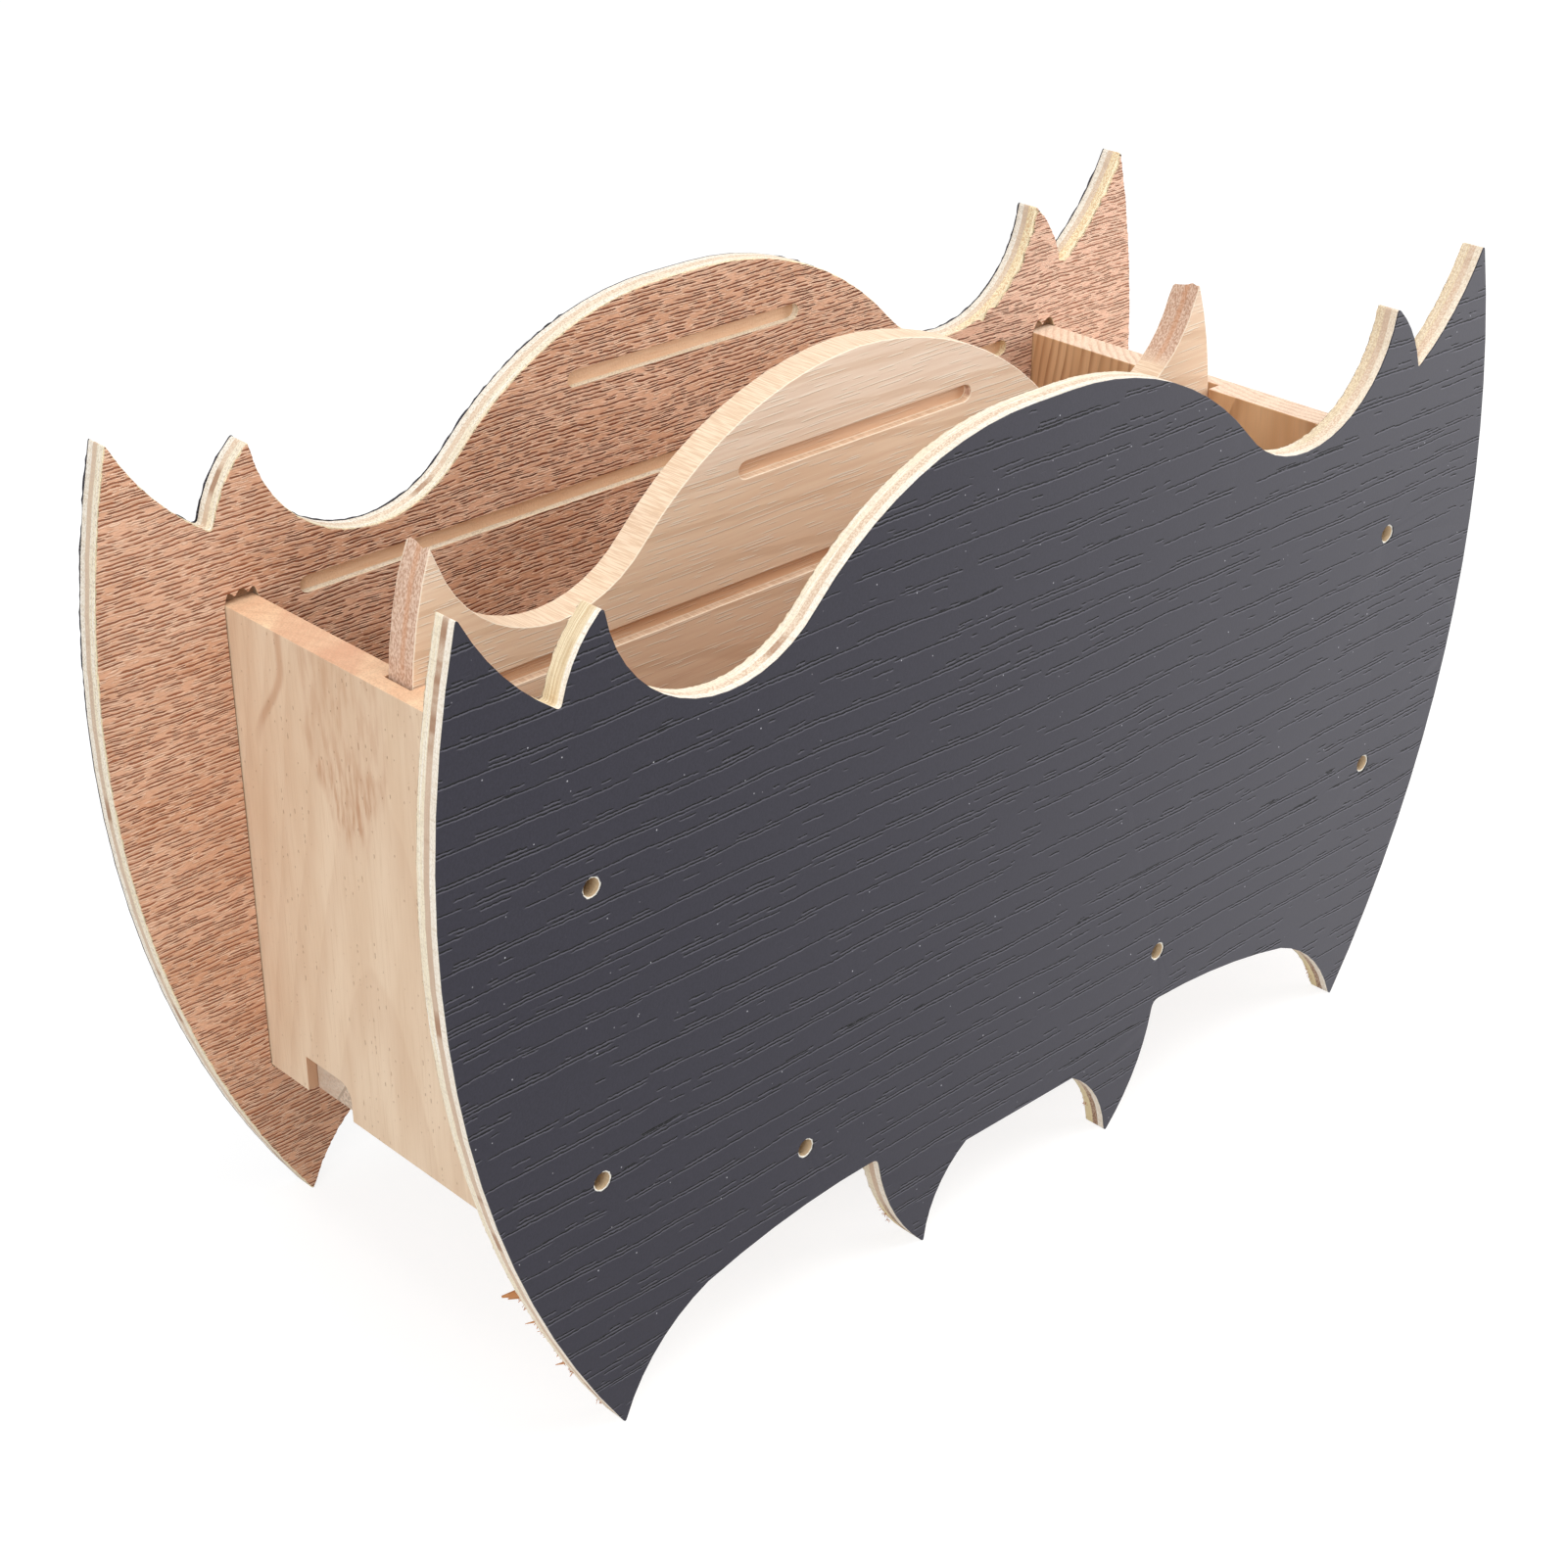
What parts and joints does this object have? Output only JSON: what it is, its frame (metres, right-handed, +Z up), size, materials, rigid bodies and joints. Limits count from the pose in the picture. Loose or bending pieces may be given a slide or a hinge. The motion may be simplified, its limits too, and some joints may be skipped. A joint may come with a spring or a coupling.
{
  "type": "bat box",
  "caption": "Wooden bat roosting box with bat-shaped black front and back panels, side walls, a roof board and a grooved partition that slides in dados between its chambers.",
  "frame": {"origin": "on the ground under the middle of the box, which stands mouth up on the wing and ear tips of its panels", "axes": "+X along the width, +Y from the front panel to the back panel, +Z up through the mouth; in use the box hangs the other way up"},
  "size_m": [0.3188, 0.1174, 0.1942],
  "materials": {
    "black_film": "embossed wood grain, satin",
    "plywood": "sawn plywood edge",
    "red_veneer": "rough rotary-cut veneer",
    "pine": "planed, untreated",
    "beech": "planed, untreated",
    "zinc_screw": "zinc plated"
  },
  "bodies": {
    "box": {"front_panel_film": "black_film", "front_panel_ply": "plywood", "front_panel_veneer": "red_veneer", "back_panel_film": "black_film", "back_panel_ply": "plywood", "back_panel_veneer": "red_veneer", "left_side_wall": "pine", "right_side_wall": "pine", "roof_board": "pine", "back_screw_left_upper": "zinc_screw", "back_screw_right_upper": "zinc_screw", "back_screw_left_lower": "zinc_screw", "back_screw_right_lower": "zinc_screw", "back_screw_left_roof": "zinc_screw", "back_screw_right_roof": "zinc_screw"},
    "partition": {"roost_partition": "beech"}
  },
  "joints": [
    {"name": "partition_slide", "type": "slide", "parent": "box", "child": "partition", "axis": [0, 0, 1], "range_m": [0, 0.1046]}
  ]
}
